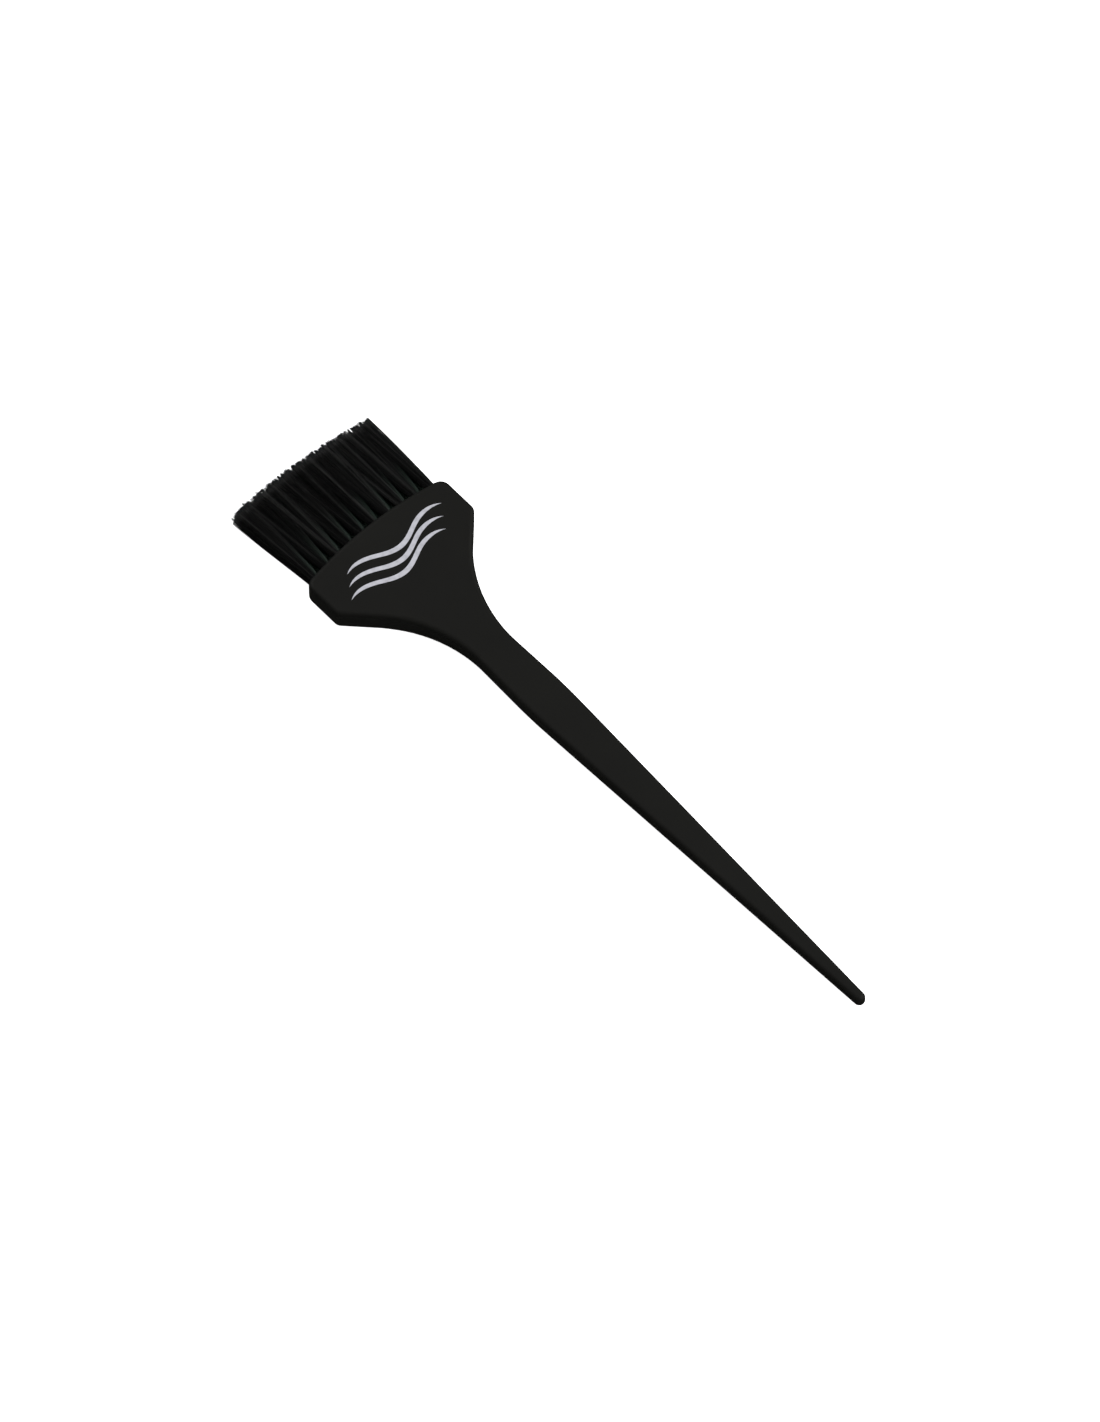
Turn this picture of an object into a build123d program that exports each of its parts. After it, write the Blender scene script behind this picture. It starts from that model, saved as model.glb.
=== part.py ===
from build123d import *
import math
import os

# Hair tint brush, in millimetres.
# +Y runs from the tail tip to the bristle tips, +X across the brush, +Z up.
# The brush lies flat on z = 0, and the origin is under the middle of its length and width.

# Handle outline, seen from above
LENGTH = 220.0                # tail tip to bristle tips
BRISTLE_LENGTH = 27.4         # free length of the middle tufts
HEAD_WIDTH = 48.8
HEAD_BACK_Y = 67.6            # where the sides of the head would meet the sloped shoulders
FRONT_RADIUS = 115.0          # the front edge is a shallow arc
FRONT_CORNER_RADIUS = 3.0
BACK_CORNER_RADIUS = 2.6
SHOULDER_ANGLE = 45.5         # degrees between the sloped shoulder and the long axis
SWEEP_RADIUS = 40.0           # concave curve from shoulder to neck
NECK_WIDTH = 11.6
NECK_Y = 32.2
GRIP_WIDTH = 12.7             # widest place of the shaft
GRIP_Y = 12.0
GRIP_BLEND_RADIUS = 180.0
TAIL_RADIUS = 1.6

# Handle thickness, seen from the side; the handle is even about its middle plane
HEAD_THICKNESS = 7.0
HEAD_FULL_Y = 57.0            # the head has its full thickness in front of this
NECK_THICKNESS = 5.2
TAIL_THICKNESS = 3.7
THICKNESS_BLEND_RADIUS = 400.0
EDGE_RADIUS = 1.3             # has to stay under TAIL_RADIUS

# Tufts: blind holes in the front edge, two rows one above the other
TUFTS_PER_ROW = 10
TUFT_PITCH = 4.58
ROW_SPACING = 3.15
HOLE_DIAMETER = 2.7
HOLE_DEPTH = 8.5
TUFT_CLEARANCE = 0.02         # around a tuft's root in its hole
TUFT_GAP = 0.1                # between neighbouring tufts at the tips
TUFT_COLLAR = 1.0             # a tuft stays round this far past the hole's mouth
TIP_THICKNESS = 6.8           # both rows together, at the tips
TIP_RADIUS = 190.0            # the tips are trimmed to a shallow arc
FOLD_RADIUS = 0.9             # rounding of the folded end at the bottom of the hole

# Anchors: a flat piece of wire across each tuft's fold, biting into both walls of the hole
ANCHOR_LENGTH = 3.4
ANCHOR_WIDTH = 1.6
ANCHOR_THICKNESS = 0.35
ANCHOR_SETBACK = 1.0          # from the bottom of the hole to the anchor

# Printed mark: three wavy strands of ink on the upper face of the head
INK_THICKNESS = 0.06
MARK_CENTRE_Y = 70.3
STRAND_LENGTH = 33.0
STRAND_WAVE = 1.9             # height of the wave either side of its middle line
STRAND_HALF_WIDTH = 0.72
STRAND_SPACING = 3.3
STRAND_STAGGER = 2.2          # each strand starts this much further to the right
STRAND_STEPS = 8

HALF_WIDTH = HEAD_WIDTH / 2
TAIL_Y = -LENGTH / 2
TIP_Y = LENGTH / 2
FRONT_Y = TIP_Y - BRISTLE_LENGTH
MID_Z = HEAD_THICKNESS / 2
ROWS = {"bottom": MID_Z - ROW_SPACING / 2, "top": MID_Z + ROW_SPACING / 2}


def arc_y(x, top_y, radius):
    """Height at x of an arc that is highest, at top_y, on the long axis."""
    return top_y - radius + math.sqrt(radius**2 - x**2)


def handle_outline():
    """Outline of the handle, from above: one half from the tail to the front, then its mirror image."""
    tail_centre = Vector(0, TAIL_Y + TAIL_RADIUS)
    grip = Vector(GRIP_WIDTH / 2, GRIP_Y)
    to_grip = grip - tail_centre
    taper = math.atan2(to_grip.X, to_grip.Y) - math.asin(TAIL_RADIUS / to_grip.length)
    tail_end = tail_centre + Vector(math.cos(taper), -math.sin(taper)) * TAIL_RADIUS

    sweep_centre = Vector(NECK_WIDTH / 2 + SWEEP_RADIUS, NECK_Y)
    to_sweep = sweep_centre - grip
    waist = math.atan2(to_sweep.Y, to_sweep.X) - math.acos(SWEEP_RADIUS / to_sweep.length)
    slope = math.radians(SHOULDER_ANGLE)
    neck = sweep_centre - Vector(math.cos(waist), math.sin(waist)) * SWEEP_RADIUS
    shoulder = sweep_centre + Vector(-math.cos(slope), math.sin(slope)) * SWEEP_RADIUS
    back_corner = Vector(HALF_WIDTH, HEAD_BACK_Y)
    front_corner = Vector(HALF_WIDTH, arc_y(HALF_WIDTH, FRONT_Y, FRONT_RADIUS))
    front_angle = math.degrees(math.acos(HALF_WIDTH / FRONT_RADIUS))

    with BuildSketch() as outline:
        with BuildLine():
            CenterArc(tail_centre, TAIL_RADIUS, -90, 90 - math.degrees(taper))
            Line(tail_end, grip)
            Line(grip, neck)
            CenterArc(sweep_centre, SWEEP_RADIUS, 180 + math.degrees(waist),
                      -math.degrees(waist) - SHOULDER_ANGLE)
            Line(shoulder, back_corner)
            Line(back_corner, front_corner)
            CenterArc((0, FRONT_Y - FRONT_RADIUS), FRONT_RADIUS, front_angle, 90 - front_angle)
            mirror(about=Plane.YZ)
        make_face()
        for corner, radius in ((grip, GRIP_BLEND_RADIUS), (back_corner, BACK_CORNER_RADIUS),
                               (front_corner, FRONT_CORNER_RADIUS)):
            both_sides = [v for v in outline.vertices()
                          if abs(abs(v.X) - corner.X) < 0.01 and abs(v.Y - corner.Y) < 0.01]
            fillet(both_sides, radius)
    return outline.sketch


def handle_side():
    """Side view of the handle, from the tail to past the front edge."""
    half_profile = [(TAIL_Y - 1, TAIL_THICKNESS / 2), (NECK_Y, NECK_THICKNESS / 2),
                    (HEAD_FULL_Y, HEAD_THICKNESS / 2), (TIP_Y, HEAD_THICKNESS / 2)]
    upper = [(y, MID_Z + z) for y, z in half_profile]
    lower = [(y, MID_Z - z) for y, z in reversed(half_profile)]
    with BuildSketch(Plane.YZ) as side:
        with BuildLine():
            Polyline(*upper, *lower, close=True)
        make_face()
        bends = [v for v in side.vertices() if abs(v.Y - NECK_Y) < 0.01 or abs(v.Y - HEAD_FULL_Y) < 0.01]
        fillet(bends, THICKNESS_BLEND_RADIUS)
    return side.sketch


def hole_places():
    """Name, x and z of each tuft hole, row by row and from left to right."""
    for row, z in ROWS.items():
        for i in range(TUFTS_PER_ROW):
            x = (i - (TUFTS_PER_ROW - 1) / 2) * TUFT_PITCH
            yield f"tuft_{row}_{i + 1:02d}", row, x, z


def round_along_y(radius, x, z, start, end):
    """Round bar along +Y from start to end."""
    return Pos(x, (start + end) / 2, z) * Rot(90, 0, 0) * Cylinder(radius, end - start)


def hole_bottom(x):
    return arc_y(x, FRONT_Y, FRONT_RADIUS) - HOLE_DEPTH


def anchor(x, z):
    """Flat wire lying across the hole, with its ends let into the hole's walls."""
    y = hole_bottom(x) + ANCHOR_SETBACK + ANCHOR_WIDTH / 2
    return Pos(x, y, z) * Box(ANCHOR_LENGTH, ANCHOR_WIDTH, ANCHOR_THICKNESS)


def handle():
    """One-piece moulded handle with rounded edges, blind tuft holes and the seats that the anchors cut."""
    body = extrude(Pos(0, 0, MID_Z) * handle_outline(), HEAD_THICKNESS, both=True)
    body &= extrude(handle_side(), HEAD_WIDTH, both=True)
    rims = body.edges().filter_by(Axis.X, reverse=True).filter_by(Axis.Z, reverse=True)
    body = fillet(rims, EDGE_RADIUS)
    for _, _, x, z in hole_places():
        body -= round_along_y(HOLE_DIAMETER / 2, x, z, hole_bottom(x), TIP_Y)
        body -= anchor(x, z)
    return body


def tuft(row, x, z):
    """Bundle of filaments: round in its hole, flared outside to meet its neighbours at the tips."""
    root_radius = HOLE_DIAMETER / 2 - TUFT_CLEARANCE
    flare_start = arc_y(x, FRONT_Y, FRONT_RADIUS) + TUFT_COLLAR
    root = round_along_y(root_radius, x, z, hole_bottom(x) + TUFT_CLEARANCE, flare_start)
    root = fillet(root.edges().sort_by(Axis.Y)[0], FOLD_RADIUS)
    tip_z = MID_Z + math.copysign(TIP_THICKNESS / 4, z - MID_Z)
    tip_height = TIP_THICKNESS / 2 - TUFT_GAP
    start = Plane((x, flare_start, z), x_dir=(1, 0, 0), z_dir=(0, 1, 0)) * Circle(root_radius)
    end = Plane((x, TIP_Y + 1, tip_z), x_dir=(1, 0, 0), z_dir=(0, 1, 0)) * RectangleRounded(
        TUFT_PITCH - TUFT_GAP, tip_height, tip_height * 0.4)
    trim = Pos(0, TIP_Y - TIP_RADIUS, MID_Z) * Cylinder(TIP_RADIUS, HEAD_THICKNESS * 2)
    return (root + loft([start, end])) & trim - anchor(x, z)


def strand(index):
    """One wavy strand of ink, even for most of its length and pointed at both ends."""
    start_x = -STRAND_LENGTH / 2 + (index - 1) * STRAND_STAGGER
    middle_y = MARK_CENTRE_Y + (index - 1) * STRAND_SPACING
    upper = []
    lower = []
    for step in range(STRAND_STEPS + 1):
        t = step / STRAND_STEPS
        x = start_x + t * STRAND_LENGTH
        y = middle_y + STRAND_WAVE * math.sin(2 * math.pi * (1.35 * t + 0.1))
        half_width = STRAND_HALF_WIDTH * (1 - (2 * t - 1) ** 4)
        upper.append((x, y + half_width))
        lower.append((x, y - half_width))
    with BuildSketch(Plane.XY.offset(HEAD_THICKNESS)) as shape:
        with BuildLine():
            Spline(*upper)
            Spline(*lower)
        make_face()
    return extrude(shape.sketch, INK_THICKNESS)


def write(name, *solids):
    """One STEP file for a node; a node of several pieces is a group of separate solids."""
    export_step(solids[0] if len(solids) == 1 else Compound(children=list(solids)), f"parts/{name}.step")


os.makedirs("parts", exist_ok=True)
write("handle", handle())
for name, row, x, z in hole_places():
    write(name, tuft(row, x, z))
for row, z in ROWS.items():
    write(f"anchors_{row}_row", *[anchor(x, z) for _, hole_row, x, _ in hole_places() if hole_row == row])
write("printed_mark", *[strand(index) for index in range(3)])
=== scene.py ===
import math

import bpy
import numpy as np
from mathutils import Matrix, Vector


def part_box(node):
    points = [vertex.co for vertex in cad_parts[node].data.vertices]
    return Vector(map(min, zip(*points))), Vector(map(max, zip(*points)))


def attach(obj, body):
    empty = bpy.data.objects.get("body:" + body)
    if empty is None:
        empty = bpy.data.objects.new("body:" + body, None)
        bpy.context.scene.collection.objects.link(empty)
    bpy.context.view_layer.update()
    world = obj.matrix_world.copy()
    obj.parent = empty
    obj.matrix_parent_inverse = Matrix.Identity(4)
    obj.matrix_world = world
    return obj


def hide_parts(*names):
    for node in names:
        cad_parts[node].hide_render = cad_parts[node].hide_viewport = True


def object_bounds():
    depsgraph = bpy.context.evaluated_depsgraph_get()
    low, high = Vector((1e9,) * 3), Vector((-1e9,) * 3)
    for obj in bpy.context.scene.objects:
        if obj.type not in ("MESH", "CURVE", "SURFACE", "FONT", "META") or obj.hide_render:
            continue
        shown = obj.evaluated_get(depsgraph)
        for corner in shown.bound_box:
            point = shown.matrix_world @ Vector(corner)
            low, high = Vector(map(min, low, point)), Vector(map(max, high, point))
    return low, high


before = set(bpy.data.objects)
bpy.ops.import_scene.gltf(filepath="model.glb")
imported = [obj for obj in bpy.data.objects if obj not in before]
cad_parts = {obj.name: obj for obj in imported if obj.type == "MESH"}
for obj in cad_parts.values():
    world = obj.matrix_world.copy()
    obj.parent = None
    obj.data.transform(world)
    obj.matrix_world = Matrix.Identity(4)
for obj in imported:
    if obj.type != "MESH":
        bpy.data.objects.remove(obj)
cad_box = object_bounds()

MM = 0.001
ROWS = ("bottom", "top")
TUFTS_PER_ROW = 10

# Filaments
HOLE_DEPTH = 8.5 * MM
HOLE_RADIUS = 1.33 * MM        # room for a tuft's root
ANCHOR_FROM_BOTTOM = 1.05 * MM # from the bottom of the hole to the turn's centre
FILAMENT_RADIUS = 0.065 * MM
RADIUS_VARIATION = 0.07        # share by which filaments differ in thickness
LATTICE_PITCH = 0.133 * MM     # between neighbouring filaments in the hole
HOLE_MARGIN = 0.03 * MM        # between the outermost filaments and the root solid
ANCHOR_ROOM = 0.27 * MM        # height over the row's middle at which filaments pass the anchor
CENTRE_ROOM = 0.09 * MM        # the same at the mouth, where the bundle has closed again
BEND_DEPTH = 0.68              # how deep a filament's turn is, as a share of its height
BEND_STEPS = 6
HOLE_STEPS = 2
FREE_STEPS = 12
TUBE_SIDES = 5
CAP_HEIGHT = 0.5               # of a filament's rounded end, as a share of its radius
SEEDS_PER_ROW = 100            # keeps the two rows' random numbers apart

# How the free filaments spread
PACK_HEIGHT = 6.4 * MM         # both rows together at the tips
STEP_CROWDING = 1.4            # over 1 puts a free filament's steps closer together near the root
CELL_OVERLAP = 1.5 * MM        # how far a tuft's tips reach into its neighbour's place
OUTER_OVERLAP = 0.4 * MM       # the same for the two outermost tufts
TOWARDS_OUTER_OVERLAP = 2.4 * MM  # how far their neighbours reach into their places
MOUTH_FLARE = {"top": 0.10, "bottom": 0.30}  # share of a tuft's opening out done right at the mouth
FLARE_LENGTH = 0.03            # as a share of the free length
FAN_POWER = 0.9                # 1 opens out evenly to the tip, less opens earlier
HEIGHT_POWER = 2.5             # how early a tuft fills its height; more is nearer the root
OUTER_FAN_POWER = 1.1          # FAN_POWER for the free outer sides of the pack
OUTER_FLARE = 1.3 * MM         # how far the outer sides of the pack flare
PACK_LEAN = -0.7 * MM          # the whole pack is brushed a little to one side
LEAN_POWER = 1.3               # how late along a filament the lean, the sway and the strands set in
SKIN_BIAS = {"top": 0.55, "bottom": 0.8}  # under 1 crowds filaments towards the tuft's two faces
SIDE_BIAS = 0.85               # the same towards the pack's two outer sides
OUTER_SWAY = 0.3               # share of its sway that a strand of an outermost tuft keeps
STRANDS_ACROSS = 14            # the filaments of half a tuft gather into strands on a jittered grid
STRANDS_HIGH = 4
STRAND_WANDER = 0.45           # how far a strand's middle strays from its place, as a share of the grid
STRAND_PULL = {"top": 0.24, "bottom": 0.1}  # share of the way to its strand's middle a tip is drawn
STRAND_SWAY = {"top": 0.25 * MM, "bottom": 0.12 * MM}  # sideways sway of a strand's tip
STRAND_SHADE = 0.86            # share of a filament's shade that its whole strand has in common
STRAND_LENGTH_SPREAD = 0.2 * MM  # how much the strands differ in length
STRAND_POINT = 0.03 * MM       # how much shorter a filament is, per strand width from its strand's middle
CROSSING_SHARE = 0.2           # strands that cross over their neighbours
CROSSING_SPREAD = 0.8 * MM     # how far they cross over
CROSSING_LIFT = 0.25 * MM      # and how far out of the pack they rise
TIP_JITTER = 0.05 * MM         # how far single tips stray
LENGTH_JITTER = 0.025 * MM     # how much single filaments differ in length
BOW = 0.03 * MM                # how much single filaments bow
STRAND_BOW = 0.08 * MM         # the same for a whole strand, sideways only
LOOSE_FILAMENTS = 2            # of each half of tuft_top_01, apart at the pack's left corner
LOOSE_SPREAD = (0.4 * MM, 1.4 * MM)
FLOOR_CLEARANCE = 1.5          # between the lowest filaments' middles and the floor, in filament radii

# Painted light: where light comes through the gaps between the tufts, the filaments' colour is painted
# green
PAINTED_LIGHT_FROM, PAINTED_LIGHT_FULL = 0.12, 0.5  # how far to its tuft's side it begins and is full, in radii
PAINTED_LIGHT_LENGTH = 0.4              # share of the free length over which it fades
PAINTED_LIGHT_STRENGTH = {"top": 0.25, "bottom": 1.0}
PAINTED_LIGHT_SIDE = {"top": 1, "bottom": -1}  # the side of the tuft that it is on

# Tips are trimmed along a shallow arc that slopes down to the right
TIP_DROP = 0.55 * MM           # from the front of the part's box to the trim line, in the middle
TIP_SLOPE = -0.0443
TIP_RADIUS = 165 * MM
TIP_UNDERCUT = 0.12            # filaments lower in the pack end this much further on, per unit of height
TIP_TAPER_FROM = 0.92          # share of the free length where a filament begins to taper
TIP_TAPER_TO = 0.85            # its thickness at the end, as a share

# Studio
FLOOR_GAP = 0.02 * MM          # keeps the floor from coinciding with the handle's flat underside
FLOOR_HALF = 8.0               # half its width, in metres
FLOOR_GLOW = 0.95              # lit from below like a light table, so no shadow shows
WORLD_STRENGTH = 0.04
SOFTBOXES = (                  # name, azimuth, elevation, distance and width in metres, power in watts
    ("key_softbox", 30, 45, 1.6, 1.0, 19),
    ("right_softbox", 72, 38, 1.6, 1.0, 10),
    ("front_softbox", -176, 34, 1.0, 0.62, 4.9),
    ("left_softbox", -84, 38, 1.6, 1.0, 2),
)

# View
VIEW_AZIMUTH = -42.3
VIEW_ELEVATION = 60.0
VIEW_DISTANCE = 5.182
LENS = 500.0
AIM = Vector((-1.4 * MM, 9.62 * MM, 3.5 * MM))


def new_material(name):
    """A new material with its node tree and shader."""
    material = bpy.data.materials.new(name)
    material.use_nodes = True
    tree = material.node_tree
    return material, tree, tree.nodes["Principled BSDF"]


def add_node(tree, kind, inputs=None, **settings):
    node = tree.nodes.new(kind)
    for key, value in settings.items():
        setattr(node, key, value)
    for key, value in (inputs or {}).items():
        node.inputs[key].default_value = value
    return node


def object_noise(tree, scale, detail=2.0, stretch=(1, 1, 1)):
    """Noise fixed to the object, with features about 1/scale metres long, stretched by axis."""
    place = add_node(tree, "ShaderNodeTexCoord")
    mapping = add_node(tree, "ShaderNodeMapping", {"Scale": stretch})
    noise = add_node(tree, "ShaderNodeTexNoise", {"Scale": scale, "Detail": detail})
    tree.links.new(place.outputs["Object"], mapping.inputs["Vector"])
    tree.links.new(mapping.outputs["Vector"], noise.inputs["Vector"])
    return noise.outputs["Fac"]


def ramp(tree, source, stops):
    """Colour ramp over a source; stops are (position, colour)."""
    node = add_node(tree, "ShaderNodeValToRGB")
    elements = node.color_ramp.elements
    while len(elements) < len(stops):
        elements.new(0.5)
    for element, (position, colour) in zip(elements, stops):
        element.position = position
        element.color = (*colour, 1)
    tree.links.new(source, node.inputs["Fac"])
    return node.outputs["Color"]


def value_range(tree, source, low, high):
    """Noise from 0.3 to 0.7 mapped onto a range of values."""
    limits = {"From Min": 0.3, "From Max": 0.7, "To Min": low, "To Max": high}
    node = add_node(tree, "ShaderNodeMapRange", limits)
    tree.links.new(source, node.inputs["Value"])
    return node.outputs["Result"]


def bump(tree, height, strength, distance, under=None):
    node = add_node(tree, "ShaderNodeBump", {"Strength": strength, "Distance": distance})
    tree.links.new(height, node.inputs["Height"])
    if under is not None:
        tree.links.new(under, node.inputs["Normal"])
    return node.outputs["Normal"]


def handle_plastic():
    """Black matt moulded plastic: fine spark-eroded grain, faint mottling and drifting gloss."""
    material, tree, shader = new_material("handle_plastic")
    mottle = object_noise(tree, 60, detail=3)
    colour = ramp(tree, mottle, [(0.3, (0.0028, 0.0028, 0.0020)), (0.7, (0.0040, 0.0040, 0.0029))])
    tree.links.new(colour, shader.inputs["Base Color"])
    drift = object_noise(tree, 110, detail=4, stretch=(1, 0.4, 1))
    tree.links.new(value_range(tree, drift, 0.60, 0.70), shader.inputs["Roughness"])
    grain = bump(tree, object_noise(tree, 3200, detail=1), 0.18, 0.02 * MM)
    lengthwise = object_noise(tree, 900, detail=3, stretch=(1, 0.12, 1))
    scuffs = bump(tree, lengthwise, 0.06, 0.02 * MM, under=grain)
    tree.links.new(scuffs, shader.inputs["Normal"])
    shader.inputs["Specular IOR Level"].default_value = 0.17
    return material


def filament_nylon():
    """Near-black nylon whose shade differs by strand; painted light: teal cast at the cut ends, green in
    the gaps at the roots.
    """
    material, tree, shader = new_material("filament_nylon")
    shade = add_node(tree, "ShaderNodeAttribute", attribute_name="shade").outputs["Fac"]
    along = add_node(tree, "ShaderNodeAttribute", attribute_name="along").outputs["Fac"]
    painted_light_mask = add_node(tree, "ShaderNodeAttribute", attribute_name="painted_light").outputs["Fac"]
    shades = [
        (0.3, (0.0008, 0.0008, 0.0008)),
        (0.62, (0.0032, 0.0033, 0.0033)),
        (0.88, (0.0230, 0.0235, 0.0230)),
    ]
    body = ramp(tree, shade, shades)
    # painted light: a faint teal cast at the cut ends, for light coming through them
    end = ramp(tree, along, [(0.0, (0, 0, 0)), (0.93, (0, 0, 0)), (1.0, (1, 1, 1))])
    mixed = add_node(tree, "ShaderNodeMix", {"B": (0.002, 0.004, 0.004, 1)}, data_type="RGBA")
    tree.links.new(end, mixed.inputs["Factor"])
    tree.links.new(body, mixed.inputs["A"])
    # painted light: green near the roots, where light comes through the gaps between the tufts
    painted_light = add_node(tree, "ShaderNodeMix", {"B": (0.075, 0.115, 0.092, 1)}, data_type="RGBA")
    tree.links.new(painted_light_mask, painted_light.inputs["Factor"])
    tree.links.new(mixed.outputs["Result"], painted_light.inputs["A"])
    tree.links.new(painted_light.outputs["Result"], shader.inputs["Base Color"])
    shader.inputs["Roughness"].default_value = 0.38
    shader.inputs["Specular IOR Level"].default_value = 0.2
    return material


def anchor_wire():
    """Flattened drawn wire, with draw lines along its length."""
    material, tree, shader = new_material("anchor_wire")
    lines = object_noise(tree, 2500, detail=2, stretch=(0.05, 1, 1))
    colour = ramp(tree, lines, [(0.3, (0.55, 0.54, 0.52)), (0.7, (0.72, 0.71, 0.69))])
    tree.links.new(colour, shader.inputs["Base Color"])
    tree.links.new(bump(tree, lines, 0.2, 0.01 * MM), shader.inputs["Normal"])
    shader.inputs["Metallic"].default_value = 1.0
    shader.inputs["Roughness"].default_value = 0.3
    return material


def print_ink():
    """Pad-printed ink: near white with a cool cast, a little thin where the pad left less."""
    material, tree, shader = new_material("print_ink")
    cover = object_noise(tree, 700, detail=4)
    shades = [(0.32, (0.43, 0.43, 0.47)), (0.5, (0.51, 0.51, 0.56)), (0.7, (0.56, 0.56, 0.61))]
    colour = ramp(tree, cover, shades)
    tree.links.new(colour, shader.inputs["Base Color"])
    tree.links.new(bump(tree, cover, 0.15, 0.02 * MM), shader.inputs["Normal"])
    shader.inputs["Roughness"].default_value = 0.5
    return material


def floor_surface():
    """White board, lit from below."""
    material, tree, shader = new_material("floor_surface")
    shader.inputs["Base Color"].default_value = (0.9, 0.9, 0.9, 1)
    shader.inputs["Roughness"].default_value = 0.9
    shader.inputs["Specular IOR Level"].default_value = 0.1
    shader.inputs["Emission Color"].default_value = (1, 1, 1, 1)
    shader.inputs["Emission Strength"].default_value = FLOOR_GLOW
    return material


def clothe(node, material):
    """Gives a CAD node its finished material."""
    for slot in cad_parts[node].material_slots:
        slot.material = material


def root_lattice(radius):
    """Places (across, above) of the filaments in the upper half of a hole."""
    places = []
    row_step = LATTICE_PITCH * math.sqrt(3) / 2
    row = 0
    height = ANCHOR_ROOM
    while height < radius:
        reach = math.sqrt(radius**2 - height**2)
        shift = 0.5 if row % 2 else 0.0
        count = int(reach / LATTICE_PITCH) + 1
        for i in range(-count, count + 1):
            across = (i + shift) * LATTICE_PITCH
            if abs(across) <= reach:
                places.append((across, height))
        row += 1
        height = ANCHOR_ROOM + row * row_step
    return np.array(places)


def disc_to_square(u, v):
    """Maps the unit disc onto the square from -1 to 1 without crowding anywhere."""
    r = np.hypot(u, v)
    wide = np.abs(u) >= np.abs(v)
    ratio = np.where(wide, v, u) / np.where(wide, u, v)
    main = np.where(wide, np.sign(u), np.sign(v)) * r
    other = main * np.arctan(ratio) / (math.pi / 4)
    return np.where(wide, main, other), np.where(wide, other, main)


def tip_line(x, highest):
    """Where the tips are trimmed, at x."""
    return highest - TIP_DROP + TIP_SLOPE * x - x * x / (2 * TIP_RADIUS)


def strand_centres(rng, left, right, low, high):
    """Middles of the strands that the tips of half a tuft gather into."""
    width = (right - left) / STRANDS_ACROSS
    height = (high - low) / STRANDS_HIGH
    centres = []
    for i in range(STRANDS_ACROSS):
        for j in range(STRANDS_HIGH):
            x = left + (i + 0.5 + rng.uniform(-STRAND_WANDER, STRAND_WANDER)) * width
            z = low + (j + 0.5 + rng.uniform(-STRAND_WANDER, STRAND_WANDER)) * height
            centres.append((x, z))
    return np.array(centres), width


def free_steps():
    """Shares of the free length at which a filament has a ring of points."""
    return np.linspace(0, 1, FREE_STEPS + 1)**STEP_CROWDING


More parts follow.
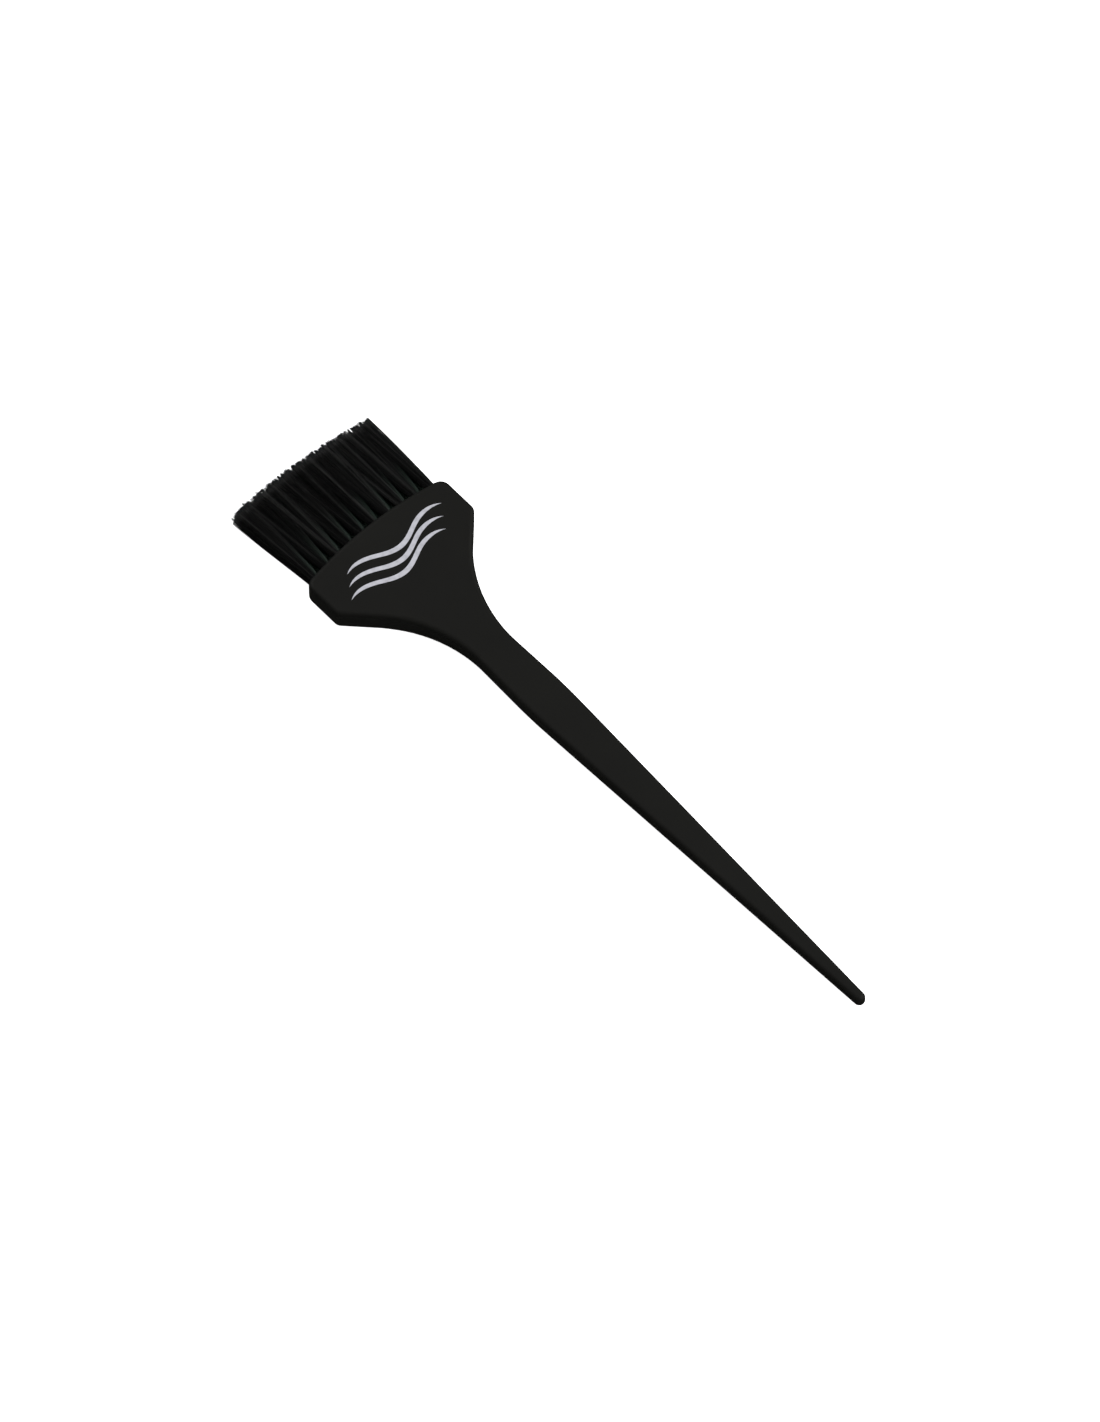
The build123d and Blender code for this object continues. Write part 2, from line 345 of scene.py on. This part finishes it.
def free_ends(rng, roots, tuft, pack):
    """Centre lines of one tuft's filaments from the mouth to the tip, one for each root, and shades."""
    across = roots[:, 0] / tuft["radius"]
    above = roots[:, 1] / tuft["radius"]
    share_x, share_z = disc_to_square(across, above)
    share_z = np.sign(share_z) * np.abs(share_z)**SKIN_BIAS[tuft["row"]]
    if tuft["outer_side"]:
        crowded = np.sign(share_x) * np.abs(share_x)**SIDE_BIAS
        share_x = np.where(share_x * tuft["outer_side"] > 0, crowded, share_x)
    left, right, low, high = tuft["cell"]
    tip_x = (left + right) / 2 + share_x * (right - left) / 2
    tip_z = (low + high) / 2 + share_z * (high - low) / 2

    centres, strand_width = strand_centres(rng, left, right, low, high)
    reach = np.hypot(tip_x[:, None] - centres[:, 0], tip_z[:, None] - centres[:, 1])
    strand = reach.argmin(axis=1)
    from_middle = reach.min(axis=1) / strand_width
    strands = len(centres)
    crossing = rng.random(strands) < CROSSING_SHARE
    sway = rng.normal(0, 1, strands) * np.where(crossing, CROSSING_SPREAD, STRAND_SWAY[tuft["row"]])
    if tuft["outer_side"]:
        sway *= OUTER_SWAY
    lift = np.where(crossing, CROSSING_LIFT, 0)[strand] * np.sign(share_z)
    strand_bow = rng.normal(0, STRAND_BOW, strands)

    count = len(roots)
    pull = STRAND_PULL[tuft["row"]]
    drawn_x = (centres[strand, 0] - tip_x) * pull + sway[strand] + rng.normal(0, TIP_JITTER, count)
    drawn_z = (centres[strand, 1] - tip_z) * pull + rng.normal(0, TIP_JITTER, count)
    if tuft["loose"]:
        loose = np.argsort(tip_x)[:LOOSE_FILAMENTS]
        drawn_x[loose] -= rng.uniform(*LOOSE_SPREAD, LOOSE_FILAMENTS)
    bow_x = rng.normal(0, BOW, count) + strand_bow[strand]
    bow_z = rng.normal(0, BOW, count)
    strand_length = rng.normal(0, STRAND_LENGTH_SPREAD, strands)
    lengths = strand_length[strand] - STRAND_POINT * from_middle + rng.normal(0, LENGTH_JITTER, count)
    shades = STRAND_SHADE * rng.random(strands)[strand] + (1 - STRAND_SHADE) * rng.random(count)

    under = pack["top"] - (tuft["z"] + tip_z)
    tip_y = tip_line(tuft["x"] + tip_x, pack["tip_y"]) + lengths + TIP_UNDERCUT * under
    mouth_y = tuft["mouth_y"]
    t = free_steps()[None, :]
    flare = 1 - np.exp(-t / FLARE_LENGTH)
    inner_fan = tuft["flare"] * flare + (1 - tuft["flare"]) * t**FAN_POWER
    rise = 1 - (1 - t)**HEIGHT_POWER
    outer_fan = t**OUTER_FAN_POWER
    outward = np.clip(share_x * tuft["outer_side"], 0, 1)[:, None]
    fan_x = inner_fan * (1 - outward) + outer_fan * outward
    gather = t**LEAN_POWER
    arch = np.sin(math.pi * t).clip(0)
    x = roots[:, :1] + (tip_x[:, None] - roots[:, :1]) * fan_x + drawn_x[:, None] * gather
    x = x + bow_x[:, None] * arch * t + PACK_LEAN * t**LEAN_POWER
    z = roots[:, 1:] + (tip_z[:, None] - roots[:, 1:]) * rise + drawn_z[:, None] * gather
    z = z + bow_z[:, None] * arch * t + lift[:, None] * np.sqrt(arch)
    y = mouth_y + (tip_y[:, None] - mouth_y) * t
    lowest = pack["floor"] + FLOOR_CLEARANCE * FILAMENT_RADIUS - tuft["z"]
    paths = np.stack([tuft["x"] + x, y, tuft["z"] + np.maximum(z, lowest)], axis=2)
    return paths, shades


def folded_root(place, tuft):
    """Centre line from the mouth above the anchor, round behind it and back to the mouth below it."""
    across, height = place
    x = tuft["x"] + across
    front = [(x, y, height) for y in np.linspace(tuft["mouth_y"], tuft["anchor_y"], HOLE_STEPS + 2)[1:-1]]
    bend = []
    for step in range(BEND_STEPS + 1):
        angle = math.pi * step / BEND_STEPS
        bend.append((x, tuft["anchor_y"] - math.sin(angle) * height * BEND_DEPTH, math.cos(angle) * height))
    back = [(px, py, -pz) for px, py, pz in reversed(front)]
    return np.array(front + bend + back) + np.array([0, 0, tuft["z"]])


def closed_up(places, radius):
    """Places at the mouth, where the gap that the anchor holds open has closed."""
    heights = (places[:, 1] - ANCHOR_ROOM) / (radius - ANCHOR_ROOM)
    return np.stack([places[:, 0], CENTRE_ROOM + heights * (radius - CENTRE_ROOM)], axis=1)


def thickness_along(points_in_path):
    """Shares of the full thickness and of the free length at each point of a path."""
    free = free_steps()
    taper = np.clip((free - TIP_TAPER_FROM) / (1 - TIP_TAPER_FROM), 0, 1)
    end = 1 - taper * (1 - TIP_TAPER_TO)
    middle = np.ones(points_in_path - 2 * len(end))
    along = np.concatenate([free[::-1], np.zeros(len(middle)), free])
    return np.concatenate([end[::-1], middle, end]), along


def tube_rings(path, radii):
    """Rings of points round a centre line that never runs along x."""
    tangent = np.gradient(path, axis=0)
    tangent /= np.linalg.norm(tangent, axis=1, keepdims=True)
    side = np.array([1.0, 0, 0]) - tangent * tangent[:, :1]
    side /= np.linalg.norm(side, axis=1, keepdims=True)
    other = np.cross(tangent, side)
    angles = 2 * math.pi * np.arange(TUBE_SIDES) / TUBE_SIDES
    ring = np.cos(angles)[None, :, None] * side[:, None] + np.sin(angles)[None, :, None] * other[:, None]
    return path[:, None] + ring * radii[:, None, None]


def end_cap(end, before, radius):
    """Point of a filament's rounded end."""
    return end + (end - before) * radius / np.linalg.norm(end - before) * CAP_HEIGHT


def painted_light_along(tuft, place, along):
    """How much painted green light a filament's colour has at each point of its path."""
    sideways = tuft["painted_light_side"] * place[0] / tuft["radius"]
    if tuft["outer_side"] == tuft["painted_light_side"]:
        sideways = 0
    at_side = min(max((sideways - PAINTED_LIGHT_FROM) / (PAINTED_LIGHT_FULL - PAINTED_LIGHT_FROM), 0), 1)
    return tuft["painted_light"] * at_side * np.clip(1 - along / PAINTED_LIGHT_LENGTH, 0, 1)


def filament_faces(start, rings, index, total):
    """Faces and texture places of one closed tube whose points begin at start."""
    faces, uvs = [], []
    first_cap = start + rings * TUBE_SIDES
    for ring in range(rings - 1):
        for side in range(TUBE_SIDES):
            after = (side + 1) % TUBE_SIDES
            a = start + ring * TUBE_SIDES
            b = a + TUBE_SIDES
            faces.append((a + side, b + side, b + after, a + after))
            u0 = (index + side / TUBE_SIDES) / total
            u1 = (index + (side + 1) / TUBE_SIDES) / total
            v0 = ring / (rings - 1)
            v1 = (ring + 1) / (rings - 1)
            uvs.extend(((u0, v0), (u0, v1), (u1, v1), (u1, v0)))
    last = start + (rings - 1) * TUBE_SIDES
    for side in range(TUBE_SIDES):
        after = (side + 1) % TUBE_SIDES
        faces.append((first_cap, start + side, start + after))
        faces.append((first_cap + 1, last + after, last + side))
        u = (index + 0.5) / total
        uvs.extend([(u, 0)] * 3 + [(u, 1)] * 3)
    return faces, uvs


def tuft_mesh(name, rng, tuft, pack):
    """All filaments of one tuft as one mesh of closed tubes."""
    places = root_lattice(tuft["radius"])
    mouth = closed_up(places, tuft["radius"])
    lower = mouth * np.array([1, -1])
    upper_ends, upper_shades = free_ends(rng, mouth, tuft, pack)
    lower_ends, lower_shades = free_ends(rng, lower, tuft, pack)
    points, faces, along_values, shade_values, painted_light_values, uvs = [], [], [], [], [], []
    for index, place in enumerate(places):
        path = np.concatenate([upper_ends[index][::-1], folded_root(place, tuft), lower_ends[index]])
        share, along = thickness_along(len(path))
        radius = FILAMENT_RADIUS * (1 + rng.uniform(-RADIUS_VARIATION, RADIUS_VARIATION))
        new_faces, new_uvs = filament_faces(len(points), len(path), index, len(places))
        faces.extend(new_faces)
        uvs.extend(new_uvs)
        points.extend(tube_rings(path, share * radius).reshape(-1, 3))
        points.append(end_cap(path[0], path[1], radius))
        points.append(end_cap(path[-1], path[-2], radius))
        along_values.extend(np.repeat(along, TUBE_SIDES))
        along_values.extend((1, 1))
        # painted light: green near the root, on the side of the tuft that faces a gap
        painted_light_values.extend(np.repeat(painted_light_along(tuft, place, along), TUBE_SIDES))
        painted_light_values.extend((0, 0))
        middle = len(path) // 2
        shade_values.extend([upper_shades[index]] * (middle * TUBE_SIDES))
        shade_values.extend([lower_shades[index]] * ((len(path) - middle) * TUBE_SIDES))
        shade_values.extend((upper_shades[index], lower_shades[index]))
    mesh = bpy.data.meshes.new(name)
    mesh.from_pydata([tuple(p) for p in points], [], faces)
    mesh.polygons.foreach_set("use_smooth", [True] * len(mesh.polygons))
    for label, values in (("along", along_values), ("shade", shade_values), ("painted_light", painted_light_values)):
        attribute = mesh.attributes.new(label, "FLOAT", "POINT")
        attribute.data.foreach_set("value", np.array(values, np.float32))
    layer = mesh.uv_layers.new(name="OFBake")
    layer.data.foreach_set("uv", np.array(uvs, np.float32).ravel())
    mesh.update()
    return mesh


def cell_sides(i, pitch):
    """Left and right limits of a tuft's tips, from its middle, and on which side it is outermost, or 0."""
    last = TUFTS_PER_ROW - 1
    if i == 0:
        return -HOLE_RADIUS - OUTER_FLARE, pitch / 2 + OUTER_OVERLAP, -1
    if i == last:
        return -pitch / 2 - OUTER_OVERLAP, HOLE_RADIUS + OUTER_FLARE, 1
    left = -pitch / 2 - (TOWARDS_OUTER_OVERLAP if i == 1 else CELL_OVERLAP)
    right = pitch / 2 + (TOWARDS_OUTER_OVERLAP if i == last - 1 else CELL_OVERLAP)
    return left, right, 0


def build_tufts(material):
    """One piece for each tuft node, with every filament modelled."""
    outer = {}
    for node in ("tuft_top_01", f"tuft_top_{TUFTS_PER_ROW:02d}"):
        low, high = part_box(node)
        outer[node] = (low.x + high.x) / 2
    first_x, last_x = outer.values()
    pitch = (last_x - first_x) / (TUFTS_PER_ROW - 1)
    handle_low, handle_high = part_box("handle")
    middle_z = (handle_low.z + handle_high.z) / 2
    pack = {"tip_y": cad_box[1].y, "floor": cad_box[0].z, "top": middle_z + PACK_HEIGHT / 2}
    for row_index, row in enumerate(ROWS):
        anchor_low, anchor_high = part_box(f"anchors_{row}_row")
        row_z = (anchor_low.z + anchor_high.z) / 2
        side = 1 if row_z > middle_z else -1
        inner_z = middle_z - row_z
        outer_z = middle_z + side * PACK_HEIGHT / 2 - row_z
        for i in range(TUFTS_PER_ROW):
            node = f"tuft_{row}_{i + 1:02d}"
            low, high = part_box(node)
            x = first_x + i * pitch
            bottom_y = low.y
            left, right, outer_side = cell_sides(i, pitch)
            tuft = {
                "row": row, "outer_side": outer_side, "loose": i == 0 and row == "top",
                "flare": MOUTH_FLARE[row],
                "painted_light_side": PAINTED_LIGHT_SIDE[row], "painted_light": PAINTED_LIGHT_STRENGTH[row],
                "x": x, "z": row_z, "radius": HOLE_RADIUS - FILAMENT_RADIUS - HOLE_MARGIN,
                "mouth_y": bottom_y + HOLE_DEPTH, "anchor_y": bottom_y + ANCHOR_FROM_BOTTOM,
                "cell": (left, right, min(inner_z, outer_z), max(inner_z, outer_z)),
            }
            rng = np.random.default_rng(SEEDS_PER_ROW * row_index + i)
            name = f"{node}_filaments"
            piece = bpy.data.objects.new(name, tuft_mesh(name, rng, tuft, pack))
            bpy.context.scene.collection.objects.link(piece)
            piece.data.materials.append(material)
            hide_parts(node)
            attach(piece, "root")


def build_floor():
    mesh = bpy.data.meshes.new("floor")
    corners = [(x * FLOOR_HALF, y * FLOOR_HALF, 0) for x, y in ((-1, -1), (1, -1), (1, 1), (-1, 1))]
    mesh.from_pydata(corners, [], [(0, 1, 2, 3)])
    mesh.materials.append(floor_surface())
    floor = bpy.data.objects.new("floor", mesh)
    floor.location.z = cad_box[0].z - FLOOR_GAP
    bpy.context.scene.collection.objects.link(floor)
    floor.visible_glossy = False  # so that the dark plastic doesn't mirror it


def direction(azimuth, elevation):
    """Unit vector from the object towards a place given as azimuth and elevation in degrees."""
    a, e = math.radians(azimuth), math.radians(elevation)
    return Vector((math.sin(a) * math.cos(e), -math.cos(a) * math.cos(e), math.sin(e)))


def add_softbox(name, azimuth, elevation, distance, width, power):
    light = bpy.data.lights.new(name, "AREA")
    light.shape = "DISK"
    light.size = width
    light.energy = power
    lamp = bpy.data.objects.new(name, light)
    towards = direction(azimuth, elevation)
    lamp.location = towards * distance
    lamp.rotation_euler = towards.to_track_quat("Z", "Y").to_euler()
    bpy.context.scene.collection.objects.link(lamp)


def light_studio():
    world = bpy.data.worlds.new("studio")
    world.use_nodes = True
    background = world.node_tree.nodes["Background"]
    background.inputs["Color"].default_value = (1, 1, 1, 1)
    background.inputs["Strength"].default_value = WORLD_STRENGTH
    bpy.context.scene.world = world
    for softbox in SOFTBOXES:
        add_softbox(*softbox)
    bpy.context.scene.view_settings.view_transform = "Standard"


def add_camera():
    lens = bpy.data.cameras.new("camera")
    lens.lens = LENS
    camera = bpy.data.objects.new("camera", lens)
    towards = direction(VIEW_AZIMUTH, VIEW_ELEVATION)
    camera.location = AIM + towards * VIEW_DISTANCE
    camera.rotation_mode = "QUATERNION"
    camera.rotation_quaternion = towards.to_track_quat("Z", "Y")
    bpy.context.scene.collection.objects.link(camera)
    bpy.context.scene.camera = camera


clothe("handle", handle_plastic())
clothe("printed_mark", print_ink())
wire = anchor_wire()
for row in ROWS:
    clothe(f"anchors_{row}_row", wire)
build_tufts(filament_nylon())
build_floor()
light_studio()
add_camera()
